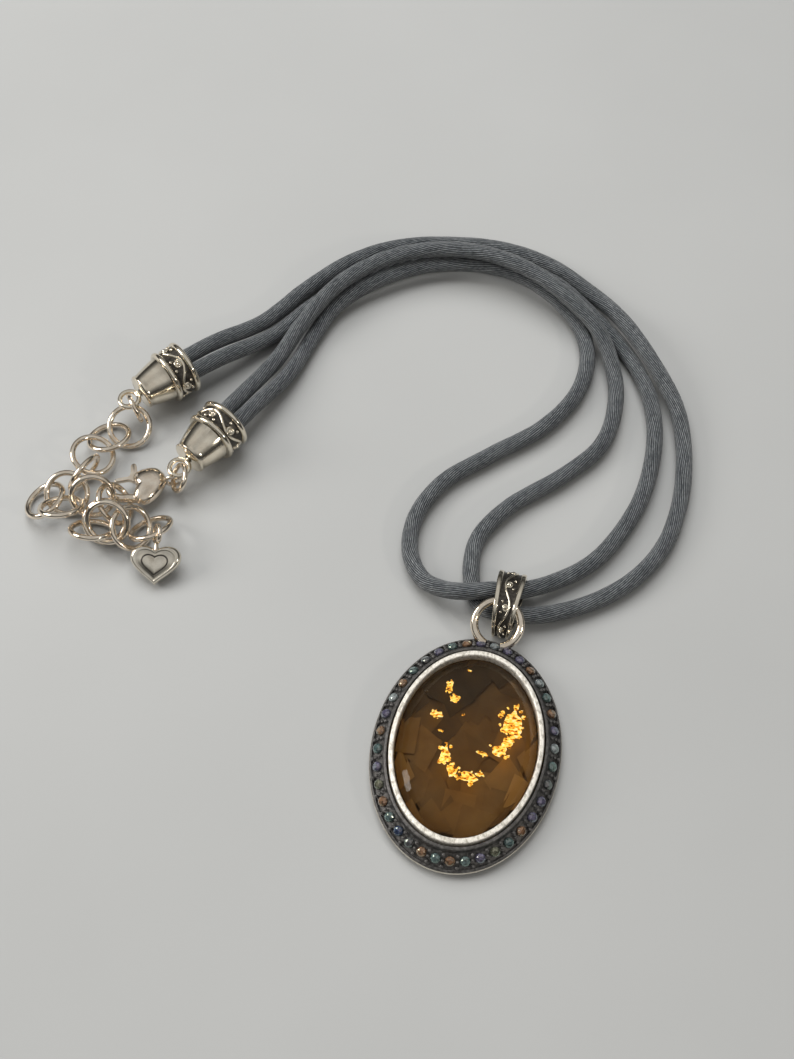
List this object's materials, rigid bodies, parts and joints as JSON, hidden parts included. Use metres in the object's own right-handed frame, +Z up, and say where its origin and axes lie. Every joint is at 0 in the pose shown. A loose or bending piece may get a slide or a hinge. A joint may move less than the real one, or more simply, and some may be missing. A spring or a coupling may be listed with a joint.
{
  "type": "pendant necklace",
  "caption": "Oval stone pendant with a stone-set halo, ring and band bail on a looped double satin cord with end caps, lobster clasp, link extender and heart charm.",
  "frame": {"origin": "centre of the pendant's flat back, on the surface the necklace lies on", "axes": "+Z up from that surface, +Y from the pendant towards the bail and the cords, +X to the right seen from the front of the pendant"},
  "size_m": [0.1204, 0.1291, 0.0101],
  "materials": {
    "silver": "polished white metal, lightly worn",
    "oxidised": "darkened metal",
    "amber": "faceted, polished, brown amber",
    "pave": "small faceted stones in mixed colours",
    "satin": "twisted satin thread, dark grey",
    "glue": "set jeweller's glue",
    "steel": "spring wire"
  },
  "bodies": {
    "root": {"cord_1": "satin", "cord_2": "satin", "end_cap_a": "silver", "end_cap_b": "silver", "glue_plug_a": "glue", "glue_plug_b": "glue", "eye_a": "silver", "eye_b": "silver"},
    "bail": {"bail": "silver"},
    "clasp": {"clasp_body": "silver", "clasp_pin": "silver", "clasp_spring": "steel"},
    "clasp_lever": {"clasp_lever": "silver"},
    "clasp_ring": {"clasp_ring": "silver"},
    "connector_ring": {"connector_ring": "silver"},
    "heart_charm": {"heart_charm": "silver"},
    "link_01": {"link_01": "silver"},
    "link_02": {"link_02": "silver"},
    "link_03": {"link_03": "silver"},
    "link_04": {"link_04": "silver"},
    "link_05": {"link_05": "silver"},
    "link_06": {"link_06": "silver"},
    "link_07": {"link_07": "silver"},
    "link_08": {"link_08": "silver"},
    "link_09": {"link_09": "silver"},
    "link_10": {"link_10": "silver"},
    "link_11": {"link_11": "silver"},
    "link_12": {"link_12": "silver"},
    "link_13": {"link_13": "silver"},
    "link_14": {"link_14": "silver"},
    "pendant": {"bezel_ring": "silver", "centre_stone": "amber", "halo_band": "oxidised", "pave_stones": "pave", "pendant_case": "silver", "pendant_ring": "silver"}
  },
  "joints": [
    {"name": "bail_slide", "type": "slide", "parent": "root", "child": "bail", "axis": [0.995, 0.0995, 0], "range_m": [-0.0008, 0.0008]},
    {"name": "clasp_swing", "type": "hinge", "parent": "clasp_ring", "child": "clasp", "pos_m": [-0.05144, 0.05129, 0.00241], "axis": [-0.468, 0.8837, 0], "range_deg": [0, 8]},
    {"name": "clasp_lever_press", "type": "hinge", "parent": "clasp", "child": "clasp_lever", "pos_m": [-0.0578, 0.0518, 0.0026], "axis": [0, 0, 1], "range_deg": [0, 10], "stiffness_Nm_per_rad": 0.0005},
    {"name": "clasp_ring_swing", "type": "hinge", "parent": "root", "child": "clasp_ring", "pos_m": [-0.05045, 0.05442, 0.00505], "axis": [-0.6015, 0.7988, 0], "range_deg": [0, 8]},
    {"name": "connector_ring_swing", "type": "hinge", "parent": "root", "child": "connector_ring", "pos_m": [-0.06046, 0.06923, 0.00505], "axis": [-0.9537, 0.3008, 0], "range_deg": [0, 5]},
    {"name": "heart_charm_swing", "type": "hinge", "parent": "link_14", "child": "heart_charm", "pos_m": [-0.05246, 0.03951, 0.00494], "axis": [-0.9843, 0.1764, 0], "range_deg": [0, 25]},
    {"name": "link_01_swing", "type": "hinge", "parent": "connector_ring", "child": "link_01", "pos_m": [-0.06005, 0.0679, 0.0034], "axis": [-0.9066, 0.4221, 0], "range_deg": [0, 3.5]},
    {"name": "link_02_swing", "type": "hinge", "parent": "link_01", "child": "link_02", "pos_m": [-0.06393, 0.06398, 0.00255], "axis": [-0.9669, 0.2551, 0], "range_deg": [0, 8]},
    {"name": "link_03_swing", "type": "hinge", "parent": "link_02", "child": "link_03", "pos_m": [-0.0673, 0.05985, 0.00179], "axis": [-0.9952, -0.098, 0], "range_deg": [0, 12]},
    {"name": "link_04_swing", "type": "hinge", "parent": "link_03", "child": "link_04", "pos_m": [-0.06587, 0.05333, 0.00214], "axis": [-0.6592, 0.752, 0], "range_deg": [0, 22]},
    {"name": "link_05_swing", "type": "hinge", "parent": "link_06", "child": "link_05", "pos_m": [-0.07244, 0.05091, 0.00237], "axis": [-0.6713, -0.7412, 0], "range_deg": [0, 7]},
    {"name": "link_06_swing", "type": "hinge", "parent": "link_07", "child": "link_06", "pos_m": [-0.07074, 0.048, 0.00241], "axis": [0.178, 0.984, 0], "range_deg": [0, 10]},
    {"name": "link_07_swing", "type": "hinge", "parent": "link_08", "child": "link_07", "pos_m": [-0.06829, 0.04562, 0.00347], "axis": [0.4252, 0.9051, 0], "range_deg": [0, 11]},
    {"name": "link_08_swing", "type": "hinge", "parent": "link_09", "child": "link_08", "pos_m": [-0.06323, 0.04847, 0.0055], "axis": [-0.198, 0.9802, 0], "range_deg": [0, 7]},
    {"name": "link_09_swing", "type": "hinge", "parent": "clasp", "child": "link_09", "pos_m": [-0.06184, 0.05041, 0.0026], "axis": [-0.923, 0.3848, 0], "range_deg": [0, 12]},
    {"name": "link_10_swing", "type": "hinge", "parent": "link_09", "child": "link_10", "pos_m": [-0.06028, 0.04287, 0.00222], "axis": [-0.979, 0.2037, 0], "range_deg": [0, 4]},
    {"name": "link_11_swing", "type": "hinge", "parent": "link_10", "child": "link_11", "pos_m": [-0.06038, 0.04054, 0.00146], "axis": [0.8954, -0.4453, 0], "range_deg": [0, 4]},
    {"name": "link_12_swing", "type": "hinge", "parent": "link_11", "child": "link_12", "pos_m": [-0.06157, 0.04011, 0.00325], "axis": [0.384, -0.9233, 0], "range_deg": [0, 5.5]},
    {"name": "link_13_swing", "type": "hinge", "parent": "link_12", "child": "link_13", "pos_m": [-0.05991, 0.03939, 0.00272], "axis": [0.4996, -0.8662, 0], "range_deg": [0, 12]},
    {"name": "link_14_swing", "type": "hinge", "parent": "link_13", "child": "link_14", "pos_m": [-0.0553, 0.04341, 0.00192], "axis": [-0.9499, -0.3126, 0], "range_deg": [0, 5]},
    {"name": "pendant_swing", "type": "hinge", "parent": "bail", "child": "pendant", "pos_m": [0.00664, 0.02553, 0.0058], "axis": [-0.9677, 0.2519, 0], "range_deg": [0, 27]}
  ]
}
